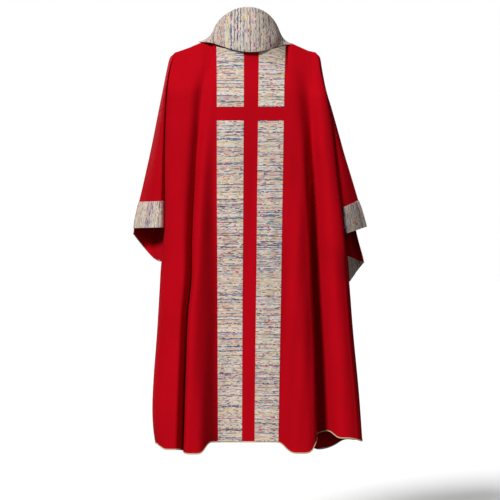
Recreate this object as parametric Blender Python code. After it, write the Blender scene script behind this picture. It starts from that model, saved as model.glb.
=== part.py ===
"""A gothic chasuble, as it hangs on its wearer, built from its sewn pieces.

Frame: metres, +Z up. The garment's front faces -Y and its wearer's left is +X.
The origin lies between the shoulder seams, in the middle of the neck opening.

Every layer of cloth is cut from one of two sewn surfaces, the back and the front.
A surface is a grid of columns (side to side) and rows (shoulder to hem), so that a
band, a facing or a panel keeps its distance from its neighbours by construction.
"""
import math

import bmesh
import bpy
import numpy as np

# ---- driving dimensions, in metres -------------------------------------------------
CLOTH = 0.0015            # red cloth, with its seam allowance
TRIM = 0.0012             # tweed bands, facings and collar
GAP = 0.0003              # air between two layers that touch
SEAM = 0.0015             # each half stands this far off the plane of the seams
ARM_SEAM = 0.0015         # and this much more at the outside of the sleeves
CUFF_WIDTH = 0.082        # tweed band at the end of each sleeve
CUFF_CURL = 0.014         # how far the left sleeve's front edge curls up as it folds forward
CUFF_FLARE = 0.014        # how far the right sleeve's back corner stands out
SHOULDER_TIP = 0.240      # half width of the shoulders
NECK_HALF = 0.118         # half width of the neck opening
BACK_HEM = -1.262         # height of the hem at centre back
FRONT_HEM = -1.285        # height of the hem at centre front
CROSS_TOP = -0.195        # upper edge of the cross arm, back
CROSS_BOTTOM = -0.239     # lower edge of the cross arm, back
FRONT_CROSS_TOP = -0.330
FRONT_CROSS_BOTTOM = -0.374
BACK_NECK_DROP = 0.022    # depth of the neckline behind
FRONT_NECK_DROP = 0.170   # and in front
PIPING_RADIUS = 0.002
PIPING_DROP = 0.0015      # piping below the hem's cut edge
COLLAR_RISE = 0.120       # height of the collar's fold at centre back
COLLAR_FOLD_RADIUS = 0.005
COLLAR_SWELL = 0.008      # how far the collar's outer layer stands out between its edges
COLLAR_STEPS = 44         # facets round the collar
STIFFENING = 0.0008       # interlining in the collar's stand
STIFFENING_OFFSET = 0.0026
SHOULDER_TAPE_DROP = 0.0055
SIDE_TAPE_INSET = 0.0034
LABEL_OFFSET = 0.0040

# Outline of the body and of the sleeves: (height, x) from the shoulder downwards.
LEFT_BODY = [(0.0, 0.205), (-0.035, 0.215), (-0.14, 0.262), (-0.33, 0.265), (-0.58, 0.268),
             (-0.75, 0.284), (-0.90, 0.292), (-1.10, 0.305), (-1.30, 0.300)]
RIGHT_BODY = [(0.0, -0.190), (-0.035, -0.200), (-0.157, -0.249), (-0.309, -0.266),
              (-0.517, -0.289), (-0.747, -0.310), (-0.90, -0.325), (-1.10, -0.344),
              (-1.30, -0.356)]
LEFT_SLEEVE = [(0.0, 0.230), (-0.035, 0.240), (-0.14, 0.274), (-0.33, 0.312), (-0.50, 0.349),
               (-0.60, 0.366), (-0.70, 0.370)]
RIGHT_SLEEVE = [(0.0, -0.205), (-0.035, -0.219), (-0.14, -0.255), (-0.32, -0.297),
                (-0.41, -0.322), (-0.50, -0.345), (-0.70, -0.362)]
RIGHT_SLEEVE_FRONT = [(0.0, -0.205), (-0.035, -0.219), (-0.14, -0.255), (-0.32, -0.297),
                      (-0.41, -0.321), (-0.50, -0.337), (-0.58, -0.336), (-0.70, -0.360)]
# Depth of the body behind and before the side seams, and how far forward the arms are.
BACK_DEPTH = [(0.0, 0.060), (-0.10, 0.092), (-0.22, 0.108), (-0.50, 0.122), (-0.90, 0.142),
              (-1.30, 0.165)]
FRONT_DEPTH = [(0.0, 0.090), (-0.12, 0.150), (-0.28, 0.172), (-0.60, 0.178), (-0.95, 0.190),
               (-1.30, 0.210)]
SIDE_Y = [(0.0, 0.0), (-0.10, 0.012), (-0.30, 0.028), (-1.30, 0.030)]
ARM_Y = [(0.0, 0.0), (-0.10, -0.004), (-0.30, -0.022), (-0.60, -0.050), (-0.75, -0.055)]
BODY_ROUNDNESS = 2.6      # exponent of the body's cross-section
BACK_ARMPIT = 0.034       # how far the groove beside the sleeve lies behind the side seam
FRONT_ARMPIT = 0.062      # and how far it lies before it
SLEEVE_FULLNESS = 0.036   # how far each half of a sleeve stands out round the arm
SHOULDER_DROP = 0.15      # height over which the shoulder turns into the back

# Underarm points, where the side seams start.
LEFT_UNDERARM = -0.690
RIGHT_UNDERARM = -0.747

# Deep folds: (line of the valley, depth, half width, roll of its lips), each (z, value).
BACK_FOLDS = [
    ([(-0.08, 0.165), (-0.33, 0.189), (-0.70, 0.200), (-1.27, 0.209)],
     [(-0.05, 0.0), (-0.33, 0.026), (-0.70, 0.050), (-1.27, 0.070)],
     [(-0.05, 0.026), (-0.70, 0.021), (-1.27, 0.022)],
     [(-0.20, 0.0), (-0.70, 0.008), (-1.27, 0.010)]),
    ([(-0.10, -0.170), (-0.33, -0.186), (-0.68, -0.200), (-0.96, -0.219), (-1.27, -0.236)],
     [(-0.05, 0.0), (-0.33, 0.030), (-0.70, 0.060), (-1.27, 0.094)],
     [(-0.05, 0.026), (-0.70, 0.026), (-1.27, 0.034)],
     [(-0.20, 0.0), (-0.70, 0.006), (-1.27, 0.012)]),
]
FRONT_FOLDS = [
    ([(-0.10, 0.150), (-0.70, 0.185), (-1.27, 0.205)],
     [(-0.08, 0.0), (-0.40, 0.026), (-0.80, 0.050), (-1.27, 0.075)],
     [(-0.05, 0.026), (-1.27, 0.030)], [(-0.20, 0.0), (-1.27, 0.008)]),
    ([(-0.10, -0.145), (-0.70, -0.180), (-1.27, -0.215)],
     [(-0.08, 0.0), (-0.40, 0.028), (-0.80, 0.052), (-1.27, 0.078)],
     [(-0.05, 0.026), (-1.27, 0.032)], [(-0.20, 0.0), (-1.27, 0.008)]),
]

# Columns by name: (x at the shoulder, x at the hem, steps to the next column).
# "left_edge" and "right_edge" are the body's own sides, beyond them lie the sleeves.
BACK_LINES = [
    ("left_edge", None, None, 3), ("left_lobe", 0.195, 0.255, 2),
    ("left_near", 0.178, 0.226, 1), ("left_fold", 0.165, 0.209, 1),
    ("left_lip", 0.150, 0.190, 1), ("left_ridge", 0.136, 0.168, 2),
    ("left_band_out", 0.104, 0.101, 2), ("left_band_in", 0.019, 0.025, 1),
    ("right_band_in", -0.0285, -0.015, 2), ("right_band_out", -0.110, -0.0895, 1),
    ("right_rise", -0.122, -0.130, 1), ("right_ridge", -0.137, -0.172, 1),
    ("right_lip", -0.152, -0.206, 1), ("right_fold", -0.166, -0.236, 1),
    ("right_near", -0.180, -0.266, 1), ("right_lobe", -0.193, -0.300, 3),
    ("right_edge", None, None, 0),
]
FRONT_LINES = [
    ("left_edge", None, None, 3), ("left_lobe", 0.185, 0.250, 1),
    ("left_near", 0.172, 0.228, 1), ("left_fold", 0.157, 0.205, 1),
    ("left_lip", 0.143, 0.182, 1), ("left_ridge", 0.128, 0.155, 1),
    ("left_band_out", 0.106, 0.104, 2), ("left_band_in", 0.023, 0.023, 1),
    ("right_band_in", -0.023, -0.023, 2), ("right_band_out", -0.106, -0.104, 1),
    ("right_ridge", -0.124, -0.160, 1), ("right_lip", -0.138, -0.190, 1),
    ("right_fold", -0.152, -0.215, 1), ("right_near", -0.168, -0.242, 1),
    ("right_lobe", -0.182, -0.280, 3), ("right_edge", None, None, 0),
]
SLEEVE_COLUMNS = (1.0, 0.72, 0.42, 0.16, 0.05)   # from a sleeve's outside to the body
SLEEVE_STEPS = len(SLEEVE_COLUMNS)
CUFF_ROWS = 2             # rows in the height of a cuff
LOWER_ROWS = 8            # rows between the underarm and the hem

RED = (0.50, 0.0025, 0.011)
DEEP_RED = (0.36, 0.002, 0.008)
TWEED = (0.55, 0.50, 0.48)
CREAM = (0.69, 0.58, 0.38)
WHITE = (0.80, 0.78, 0.72)
LINEN = (0.62, 0.58, 0.50)


def clear_scene():
    for item in list(bpy.data.objects):
        bpy.data.objects.remove(item, do_unlink=True)


def fabric(name, colour, roughness=0.9):
    """A matte cloth material."""
    material = bpy.data.materials.new(name)
    material.use_nodes = True
    shader = material.node_tree.nodes["Principled BSDF"]
    shader.inputs["Base Color"].default_value = (*colour, 1.0)
    shader.inputs["Roughness"].default_value = roughness
    shader.inputs["Metallic"].default_value = 0.0
    return material


def along(knots, value):
    """Smooth value of a (height, value) outline, listed from high to low, at a height."""
    heights = [knot[0] for knot in knots]
    values = [knot[1] for knot in knots]
    if value >= heights[0]:
        return values[0]
    if value <= heights[-1]:
        return values[-1]
    index = next(i for i in range(len(knots) - 1) if heights[i + 1] <= value)

    def slope(i):
        low = max(i - 1, 0)
        high = min(i + 1, len(knots) - 1)
        return (values[high] - values[low]) / (heights[high] - heights[low])

    span = heights[index + 1] - heights[index]
    t = (value - heights[index]) / span
    start, end = values[index], values[index + 1]
    tangent_in, tangent_out = slope(index) * span, slope(index + 1) * span
    return ((2 * t**3 - 3 * t**2 + 1) * start + (t**3 - 2 * t**2 + t) * tangent_in
            + (3 * t**2 - 2 * t**3) * end + (t**3 - t**2) * tangent_out)


def ease(low, high, value):
    """0 below low, 1 above high, smooth between."""
    t = min(max((value - low) / (high - low), 0.0), 1.0)
    return t * t * (3 - 2 * t)


class Surface:
    """One sewn half of the garment: a grid of columns and rows in space.

    side is +1 for the back and -1 for the front.
    """

    def __init__(self, side, lines, folds, depth, hem, cross, neck_drop, hem_sag):
        self.side = side
        self.folds = folds
        self.depth = depth
        self.hem = hem
        self.neck_drop = neck_drop
        self.hem_sag = hem_sag
        self.columns, self.named = self.lay_out_columns(lines)
        self.upper = self.upper_levels(cross)
        self.rim = len(self.upper) - 1
        self.rows = self.rim + LOWER_ROWS + 1
        self.points = np.array([[self.place(column, row) for column in self.columns]
                                for row in range(self.rows)])
        self.cells = self.cloth_cells()
        self.normals = self.find_normals()

    def lay_out_columns(self, lines):
        """Columns from the left sleeve's outer edge to the right one's."""
        columns = [("sleeve", 1, across) for across in SLEEVE_COLUMNS]
        named = {}
        for index, (name, top, bottom, steps) in enumerate(lines):
            named[name] = len(columns)
            columns.append(("line", index, 0.0))
            columns += [("line", index, step / steps) for step in range(1, steps)]
        columns += [("sleeve", -1, across) for across in reversed(SLEEVE_COLUMNS)]
        self.lines = lines
        return columns, named

    def upper_levels(self, cross):
        """Heights of the rows from the neckline to the level of the underarm."""
        top = -self.neck_drop
        mean_underarm = (LEFT_UNDERARM + RIGHT_UNDERARM) / 2
        cuff = mean_underarm + CUFF_WIDTH
        first = [top, top + 0.5 * (cross[0] - top), cross[0], cross[1]]
        middle = [cross[1] + (cuff - cross[1]) * i / 4 for i in range(1, 5)]
        last = [cuff + (mean_underarm - cuff) * i / CUFF_ROWS for i in range(1, CUFF_ROWS + 1)]
        return first + middle + last

    def body_x(self, column, height, share):
        """x of a body column, where share runs from 0 at the shoulder to 1 at the hem."""
        _, index, part = column

        def line_x(i):
            name, top, bottom, _ = self.lines[i]
            if name == "left_edge":
                return along(LEFT_BODY, height)
            if name == "right_edge":
                return along(RIGHT_BODY, height)
            return top + (bottom - top) * share

        here = line_x(index)
        if part == 0.0:
            return here
        there = line_x(index + 1)
        if self.lines[index][0] == "left_edge":
            part = part * part
        if self.lines[index + 1][0] == "right_edge":
            part = 1 - (1 - part) ** 2
        return here + (there - here) * part

    def shoulder_height(self, x):
        """Height of the shoulder seam, and of the neckline between the shoulders."""
        reach = abs(x)
        if reach < NECK_HALF:
            round_part = math.sqrt(max(0.0, 1 - (reach / NECK_HALF) ** 2))
            return -0.006 - (self.neck_drop - 0.006) * round_part
        slope = (reach - NECK_HALF) / (SHOULDER_TIP - NECK_HALF)
        return -0.006 - 0.031 * slope ** 1.4

    def neckline_y(self, x):
        reach = min(abs(x) / NECK_HALF, 1.0)
        forward = 0.082 if self.side > 0 else 0.135
        return self.side * forward * math.sqrt(max(0.0, 1 - reach ** 2))

    def cuff_height(self, hand, across):
        """Height of the seam between sleeve and cuff, from the body to the sleeve's outside."""
        if self.side > 0:
            inner, outer = (-0.499, -0.499) if hand > 0 else (-0.514, -0.490)
        elif hand > 0:
            inner, outer = LEFT_UNDERARM + 0.008, -0.594
        else:
            inner, outer = RIGHT_UNDERARM + CUFF_WIDTH, -0.650
        return inner + (outer - inner) * across

    def cuff_run(self, hand, across):
        """Offset from the cuff's seam to the sleeve's cut edge."""
        if self.side < 0 and hand > 0:
            forward = ease(0.0, 0.35, across)
            return (0.0, -0.95 * CUFF_WIDTH * forward, CUFF_CURL * forward - 0.006)
        if self.side > 0 and hand < 0:
            return (-CUFF_FLARE * across, 0.0, -CUFF_WIDTH)
        if self.side < 0:
            return (0.0, 0.0, -CUFF_WIDTH + 0.038 * across)
        return (0.0, 0.0, -CUFF_WIDTH)

    def place(self, column, row):
        """Point of the sewn surface at one column and row."""
        kind, key, part = column
        if kind == "sleeve":
            x, y, height = self.place_sleeve(key, part, row)
        else:
            x, y, height = self.place_body(column, row)
        return (x, y + self.side * SEAM, height)

    def body_height(self, column, row, share_top):
        """Height of a body column at a row."""
        name = self.lines[column[1]][0]
        hand = 1 if "left" in name else -1
        edge_x = along(LEFT_BODY if hand > 0 else RIGHT_BODY, -0.6)
        x_guess = self.body_x(column, -0.6, 0.45)
        near_edge = ease(0.72, 1.0, abs(x_guess / edge_x))
        underarm = LEFT_UNDERARM if hand > 0 else RIGHT_UNDERARM
        level = self.upper[min(row, self.rim)]
        start = self.shoulder_height(share_top)
        fade = max(0.0, 1 - row / 2)
        plain = level + (start - self.upper[0]) * fade
        last_plain = self.rim - CUFF_ROWS
        cuff = underarm + CUFF_WIDTH
        if self.side < 0 and hand > 0:
            cuff = underarm + 0.008
        if row <= last_plain:
            stretch = (level - self.upper[0]) / (self.upper[last_plain] - self.upper[0])
            sewn = start + (cuff - start) * stretch
        else:
            step = min((row - last_plain) / CUFF_ROWS, 1.0)
            sewn = cuff + (underarm - cuff) * step
        return plain + (sewn - plain) * near_edge

    def hem_height(self, x):
        """Height of the hem: the folds' ridges hang lower than their valleys."""
        height = self.hem
        for centre, width, drop in self.hem_sag:
            height -= drop * math.exp(-((x - centre) / width) ** 2)
        return height

    def place_body(self, column, row):
        top_x = self.body_x(column, 0.0, 0.0)
        if row <= self.rim:
            height = self.body_height(column, row, top_x)
        else:
            start = self.body_height(column, self.rim, top_x)
            hem_x = self.body_x(column, self.hem, 1.0)
            share = (row - self.rim) / LOWER_ROWS
            height = start + (self.hem_height(hem_x) - start) * share
        share = min(max(-height / 1.26, 0.0), 1.0)
        x = self.body_x(column, height, share)
        return self.drape(x, height, top_x)

    def drape(self, x, height, top_x):
        """The body's cross-section at a height, with its folds, rounded over the shoulder."""
        edge = along(LEFT_BODY if x > 0 else RIGHT_BODY, height)
        reach = min(abs(x / edge), 1.0)
        bulge = (1 - reach ** BODY_ROUNDNESS) ** (1 / BODY_ROUNDNESS)
        groove = self.armpit(1 if x > 0 else -1, height)
        depth = groove + (along(self.depth, height) - groove) * bulge
        y = along(SIDE_Y, height) + self.side * depth
        shift = 0.0
        for line, depth, width, roll in self.folds:
            across = (x - along(line, height)) / along(width, height)
            pull = math.exp(-0.5 * across ** 2)
            y -= self.side * along(depth, height) * pull
            shift -= along(roll, height) * across * pull
        start_y = self.neckline_y(top_x)
        turn = self.over_shoulder(top_x, height)
        return (x + shift, start_y + (y - start_y) * turn, height)

    def over_shoulder(self, top_x, height):
        """0 on the shoulder seam, 1 where the cloth hangs straight below it."""
        drop = self.shoulder_height(top_x) - height
        return math.sin(0.5 * math.pi * min(max(drop / SHOULDER_DROP, 0.0), 1.0))

    def armpit(self, hand, height):
        """Distance of the groove beside the sleeve from the plane of the side seams."""
        underarm = LEFT_UNDERARM if hand > 0 else RIGHT_UNDERARM
        full = BACK_ARMPIT if self.side > 0 else FRONT_ARMPIT
        return full * ease(underarm, underarm + 0.13, height)

    def place_sleeve(self, hand, across, row):
        """Sleeve half: across runs from 0 at the body's edge to 1 at the sleeve's outside."""
        body = LEFT_BODY if hand > 0 else RIGHT_BODY
        sleeve = LEFT_SLEEVE if hand > 0 else RIGHT_SLEEVE
        if self.side < 0 and hand < 0:
            sleeve = RIGHT_SLEEVE_FRONT
        last_plain = self.rim - CUFF_ROWS
        top_x = along(body, 0.0) + (along(sleeve, 0.0) - along(body, 0.0)) * across
        start = self.shoulder_height(top_x) - 0.004 * across
        cuff = self.cuff_height(hand, across)
        plain_row = min(row, last_plain)
        stretch = (self.upper[plain_row] - self.upper[0]) / (self.upper[last_plain] - self.upper[0])
        run = min(max(row - last_plain, 0) / CUFF_ROWS, 1.0)
        run_x, run_y, run_z = self.cuff_run(hand, across)
        height = start + (cuff - start) * stretch + run_z * run
        inner_x, outer_x = along(body, height), along(sleeve, height)
        inner_y = along(SIDE_Y, height) + self.side * self.armpit(hand, height)
        x = inner_x + (outer_x - inner_x) * across + run_x * run
        y = inner_y + (along(ARM_Y, height) - inner_y) * across
        y += self.side * SLEEVE_FULLNESS * math.sin(math.pi * across)
        y *= self.over_shoulder(top_x, height)
        return (x, y + self.side * ARM_SEAM * across + run_y * run, height)

    def cloth_cells(self):
        """Grid cells that hold cloth: the sleeves end at their rims, above the side seams."""
        count = len(self.columns)
        first, last = SLEEVE_STEPS, count - 1 - SLEEVE_STEPS
        cells = set()
        for row in range(self.rows - 1):
            for column in range(count - 1):
                in_body = first <= column < last
                if in_body or row < self.rim:
                    cells.add((row, column))
        return cells

    def find_normals(self):
        """Unit normals that point out of the garment."""
        total = np.zeros_like(self.points)
        for row, column in self.cells:
            a = self.points[row, column]
            b = self.points[row, column + 1]
            c = self.points[row + 1, column + 1]
            d = self.points[row + 1, column]
            normal = np.cross(c - a, b - d) * self.side
            for r, k in ((row, column), (row, column + 1), (row + 1, column), (row + 1, column + 1)):
                total[r, k] += normal
        length = np.linalg.norm(total, axis=2, keepdims=True)
        return total / np.maximum(length, 1e-12)


def sheet_solid(name, points, normals, cells, inner, outer, material, wrap=0):
    """Closed sheet over some cells of a grid, between two offsets from it.

    wrap is the number of columns of a grid that closes on itself, or 0.
    """
    mesh = bmesh.new()
    corners = {}

    def corner(row, column, layer):
        column = column % wrap if wrap else column
        key = (row, column, layer)
        if key not in corners:
            offset = outer if layer else inner
            corners[key] = mesh.verts.new(points[row, column] + normals[row, column] * offset)
        return corners[key]

    used = {}
    for row, column in cells:
        ring = [(row, column), (row, column + 1), (row + 1, column + 1), (row + 1, column)]
        for layer in (0, 1):
            a, b, c, d = [corner(r, k, layer) for r, k in ring]
            mesh.faces.new((a, b, c) if layer else (c, b, a))
            mesh.faces.new((a, c, d) if layer else (d, c, a))
        for start, end in zip(ring, ring[1:] + ring[:1]):
            if wrap:
                start, end = (start[0], start[1] % wrap), (end[0], end[1] % wrap)
            edge = frozenset((start, end))
            used[edge] = None if edge in used else (start, end)
    for edge in used.values():
        if edge is None:
            continue
        (r0, k0), (r1, k1) = edge
        a, b = corner(r0, k0, 0), corner(r1, k1, 0)
        c, d = corner(r1, k1, 1), corner(r0, k0, 1)
        mesh.faces.new((a, b, c))
        mesh.faces.new((a, c, d))
    return finish_mesh(name, mesh, material)


def finish_mesh(name, mesh, material):
    bmesh.ops.recalc_face_normals(mesh, faces=mesh.faces)
    if mesh.calc_volume(signed=True) < 0:
        bmesh.ops.reverse_faces(mesh, faces=mesh.faces)
    data = bpy.data.meshes.new(name)
    mesh.to_mesh(data)
    mesh.free()
    data.shade_smooth()
    data.set_sharp_from_angle(angle=math.radians(40))
    data.materials.append(material)
    item = bpy.data.objects.new(name, data)
    bpy.context.scene.collection.objects.link(item)
    return item


def block(rows, columns):
    """Cells of a rectangle of the grid, ends included."""
    return [(row, column) for row in range(*rows) for column in range(*columns)]


def layer(count):
    """Offsets of a trim layer: +1 lies on the outside of the cloth, -1 on its inside."""
    near = CLOTH / 2 + GAP
    far = near + TRIM
    return (near, far) if count > 0 else (-far, -near)


def add_panel(name, surface, material):
    """Red cloth, from the shoulder seams to the hem, with both halves of the sleeves."""
    return sheet_solid(name, surface.points, surface.normals, surface.cells,
                       -CLOTH / 2, CLOTH / 2, material)


def add_orphreys(prefix, surface, material):
    """Four tweed bands that leave a cross of red cloth between them."""
    near, far = layer(1)
    for hand in ("left", "right"):
        low = surface.named[hand + ("_band_out" if hand == "left" else "_band_in")]
        columns = (low, low + 2)
        for part, rows in (("upper", (0, 2)), ("lower", (3, surface.rows - 1))):
            sheet_solid(f"{prefix}_orphrey_{part}_{hand}", surface.points, surface.normals,
                        block(rows, columns), near, far, material)


def add_cuffs(prefix, surface, outer_material, inner_material):
    """Tweed band on the outside of each sleeve end, and its facing on the inside."""
    count = len(surface.columns)
    rows = (surface.rim - CUFF_ROWS, surface.rim)
    spans = {"left": (0, SLEEVE_STEPS - 1), "right": (count - SLEEVE_STEPS, count - 1)}
    for hand, columns in spans.items():
        cells = block(rows, columns)
        near, far = layer(1)
        sheet_solid(f"{hand}_{prefix}_cuff", surface.points, surface.normals, cells,
                    near, far, outer_material)
        near, far = layer(-1)
        sheet_solid(f"{hand}_{prefix}_cuff_facing", surface.points, surface.normals, cells,
                    near, far, inner_material)


def add_neck_facing(name, surface, material):
    """Strip that covers the neck seam on the inside."""
    near, far = layer(-1)
    columns = (surface.named["left_band_out"], surface.named["right_band_out"])
    sheet_solid(name, surface.points, surface.normals, block((0, 1), columns),
                near, far, material)


def around(step):
    """Sine and cosine round the neck, from centre back over the left shoulder."""
    angle = 2 * math.pi * step / COLLAR_STEPS
    return math.sin(angle), math.cos(angle)


def collar_seam(step):
    """The collar's inner edge, just above the neck seam."""
    sine, cosine = around(step)
    forward = 0.082 if cosine > 0 else 0.135
    drop = (BACK_NECK_DROP if cosine > 0 else FRONT_NECK_DROP) - 0.006
    lift = 0.0045 + 0.010 * max(0.0, -cosine)
    return np.array((0.112 * sine, forward * cosine, -0.006 - drop * abs(cosine) + lift))


def collar_fold(step):
    """The collar's fold: high behind the head, low in front, like a shawl."""
    sine, cosine = around(step)
    rise = COLLAR_RISE if cosine > 0 else 0.095
    width = 0.122 * math.copysign(abs(sine) ** 0.9, sine)
    return np.array((width, -0.040 + 0.115 * cosine, rise * cosine + 0.004))


def collar_hem(step):
    """The collar's free lower edge, which lies over the shoulders and the chest."""
    sine, cosine = around(step)
    forward = 0.104 if cosine > 0 else 0.172
    drop = 0.026 if cosine > 0 else 0.215
    return np.array((0.155 * sine, forward * cosine - 0.008 * sine * sine,
                     0.002 - drop * cosine * cosine))


def collar_grid():
    """Columns round the neck; rows from the free edge over the fold to the neck seam."""
    columns = []
    for step in range(COLLAR_STEPS):
        sine, cosine = around(step)
        outward = np.array((sine, cosine, 0.0))
        upward = np.array((0.0, 0.0, 1.0))
        low, fold, seam = collar_hem(step), collar_fold(step), collar_seam(step)
        outer_top = fold + outward * COLLAR_FOLD_RADIUS
        inner_top = fold - outward * COLLAR_FOLD_RADIUS
        column = []
        for part in (0.0, 0.18, 0.42, 0.70, 1.0):
            swell = COLLAR_SWELL * math.sin(math.pi * part ** 0.8)
            column.append(low + (outer_top - low) * part + outward * swell)
        column.append(fold + upward * COLLAR_FOLD_RADIUS)
        for part in (0.0, 0.5, 1.0):
            column.append(inner_top + (seam - inner_top) * part)
        columns.append(column)
    return np.array(columns).transpose(1, 0, 2)


def ring_normals(points):
    """Normals of a grid that closes on itself from side to side."""
    side = np.roll(points, -1, axis=1) - np.roll(points, 1, axis=1)
    down = np.gradient(points, axis=0)
    normals = np.cross(down, side)
    return normals / np.linalg.norm(normals, axis=2, keepdims=True)


def add_collar(material, stiffening):
    """A tall tweed collar folded over on itself, with a stiff strip inside its stand."""
    points = collar_grid()
    rows = len(points) - 1
    sheet_solid("collar", points, ring_normals(points), block((0, rows), (0, COLLAR_STEPS)),
                -TRIM / 2, TRIM / 2, material, wrap=COLLAR_STEPS)
    strip = []
    for part in (0.12, 0.5, 0.85):
        row = []
        for step in range(COLLAR_STEPS):
            sine, cosine = around(step)
            outward = np.array((sine, cosine, 0.0))
            inner_top = collar_fold(step) - outward * COLLAR_FOLD_RADIUS
            seam = collar_seam(step)
            row.append(seam + (inner_top - seam) * part + outward * STIFFENING_OFFSET)
        strip.append(row)
    strip = np.array(strip)
    sheet_solid("collar_interlining", strip, ring_normals(strip),
                block((0, 2), (0, COLLAR_STEPS)), -STIFFENING / 2, STIFFENING / 2,
                stiffening, wrap=COLLAR_STEPS)


def add_piping(name, surface, material):
    """Round piping along the whole hem of one panel."""
    first, last = SLEEVE_STEPS, len(surface.columns) - 1 - SLEEVE_STEPS
    hem = surface.points[-1, first:last + 1]
    curve = bpy.data.curves.new(name, "CURVE")
    curve.dimensions = "3D"
    curve.bevel_depth = PIPING_RADIUS
    curve.bevel_resolution = 1
    curve.use_fill_caps = True
    spline = curve.splines.new("POLY")
    spline.points.add(len(hem) - 1)
    for point, place in zip(spline.points, hem):
        point.co = (place[0], place[1], place[2] - PIPING_RADIUS - PIPING_DROP, 1.0)
    curve.materials.append(material)
    item = bpy.data.objects.new(name, curve)
    bpy.context.scene.collection.objects.link(item)


def tape(name, path, width_way, thick_way, width, thickness, material):
    """Flat tape along a path, with its width and its thickness along two directions."""
    across = np.array(width_way) * width / 2
    through = np.array(thick_way) * thickness / 2
    mesh = bmesh.new()
    rings = []
    for place in path:
        place = np.array(place)
        corners = (place + across + through, place - across + through,
                   place - across - through, place + across - through)
        rings.append([mesh.verts.new(corner) for corner in corners])
    for near, far in zip(rings, rings[1:]):
        for i in range(4):
            j = (i + 1) % 4
            mesh.faces.new((near[i], near[j], far[j]))
            mesh.faces.new((near[i], far[j], far[i]))
    mesh.faces.new(rings[0])
    mesh.faces.new(rings[-1])
    finish_mesh(name, mesh, material)


def add_seam_tapes(back, front, material):
    """Tapes that strengthen the shoulder seams and the side seams on the inside."""
    for hand, edge in (("left", "left_edge"), ("right", "right_edge")):
        sign = 1 if hand == "left" else -1
        reach = abs(back.points[0, back.named[edge]][0])
        path = []
        for share in (0.0, 0.25, 0.5, 0.75, 1.0):
            x = sign * (NECK_HALF + 0.006 + (reach - NECK_HALF - 0.010) * share)
            path.append((x, 0.0, back.shoulder_height(x) - SHOULDER_TAPE_DROP))
        tape(f"{hand}_shoulder_tape", path, (0, 1, 0), (0, 0, 1), 0.005, 0.001, material)
        path = []
        for row in range(back.rim, back.rows):
            rear, fore = back.points[row, back.named[edge]], front.points[row, front.named[edge]]
            middle = (rear + fore) / 2
            path.append((middle[0] - sign * SIDE_TAPE_INSET, middle[1], middle[2]))
        path[0] = tuple(np.array(path[0]) + (0, 0, -0.004))
        path[-1] = tuple(np.array(path[-1]) + (0, 0, 0.006))
        tape(f"{hand}_side_tape", path, (0, 1, 0), (1, 0, 0), 0.008, 0.001, material)


def inside_neck(surface, part, down, offset):
    """Point inside the back neck: part across from the left, down the facing, off the cloth."""
    left, right = surface.named["left_band_in"], surface.named["right_band_in"]
    top = surface.points[0, left] + (surface.points[0, right] - surface.points[0, left]) * part
    low = surface.points[1, left] + (surface.points[1, right] - surface.points[1, left]) * part
    normal = surface.normals[0, left] + surface.normals[0, right]
    normal = normal + surface.normals[1, left] + surface.normals[1, right]
    normal = normal / np.linalg.norm(normal)
    return top + (low - top) * down - normal * offset


def add_hanger_loop(surface, material):
    """Short tape loop inside the back neck, to hang the garment on a hook."""
    route = ((0.02, 0.14, 0.0048), (0.06, 0.20, 0.0065), (0.16, 0.26, 0.0095),
             (0.50, 0.29, 0.0120), (0.84, 0.26, 0.0095), (0.94, 0.20, 0.0065),
             (0.98, 0.14, 0.0048))
    path = [inside_neck(surface, *stop) for stop in route]
    tape("hanger_loop", path, (0, 0, 1), (0, 1, 0), 0.006, 0.001, material)


def add_label(surface, material):
    """Blank woven label on the neck facing."""
    rows = []
    for down in (0.46, 0.86):
        rows.append([inside_neck(surface, part, down, LABEL_OFFSET) for part in (0.12, 0.88)])
    points = np.array(rows)
    normal = np.cross(points[1, 1] - points[0, 0], points[0, 1] - points[1, 0])
    normals = np.broadcast_to(normal / np.linalg.norm(normal), points.shape)
    sheet_solid("blank_label", points, normals, [(0, 0)], 0.0, 0.0006, material)


def build_surfaces():
    back = Surface(1, BACK_LINES, BACK_FOLDS, BACK_DEPTH, BACK_HEM,
                   (CROSS_TOP, CROSS_BOTTOM), BACK_NECK_DROP,
                   [(0.180, 0.032, 0.030), (-0.170, 0.036, 0.030), (0.26, 0.04, 0.015)])
    front = Surface(-1, FRONT_LINES, FRONT_FOLDS, FRONT_DEPTH, FRONT_HEM,
                    (FRONT_CROSS_TOP, FRONT_CROSS_BOTTOM), FRONT_NECK_DROP,
                    [(0.150, 0.035, 0.020), (-0.150, 0.035, 0.020)])
    return back, front


def main():
    clear_scene()
    red = fabric("red_cloth", RED)
    tweed = fabric("tweed", TWEED)
    lining = fabric("lining_red", DEEP_RED)
    back, front = build_surfaces()
    add_panel("back_panel", back, red)
    add_panel("front_panel", front, red)
    add_orphreys("back", back, tweed)
    add_orphreys("front", front, tweed)
    add_cuffs("back", back, tweed, tweed)
    add_cuffs("front", front, tweed, tweed)
    add_neck_facing("back_neck_facing", back, lining)
    add_neck_facing("front_neck_facing", front, lining)
    add_collar(tweed, fabric("interlining", LINEN))
    piping = fabric("piping_cream", CREAM, 0.7)
    add_piping("back_hem_piping", back, piping)
    add_piping("front_hem_piping", front, piping)
    add_seam_tapes(back, front, fabric("seam_tape", DEEP_RED))
    add_hanger_loop(back, fabric("loop_tape", DEEP_RED))
    add_label(back, fabric("label_white", WHITE))


main()
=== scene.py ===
"""A gothic chasuble as it hangs on its wearer: red cloth, tweed bands, cuffs and collar.

Metres, +Z up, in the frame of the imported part. The front faces -Y, the wearer's left is +X.
Every layer of cloth is an offset of one of two sewn surfaces, the back and the front.
"""
import math

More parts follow.
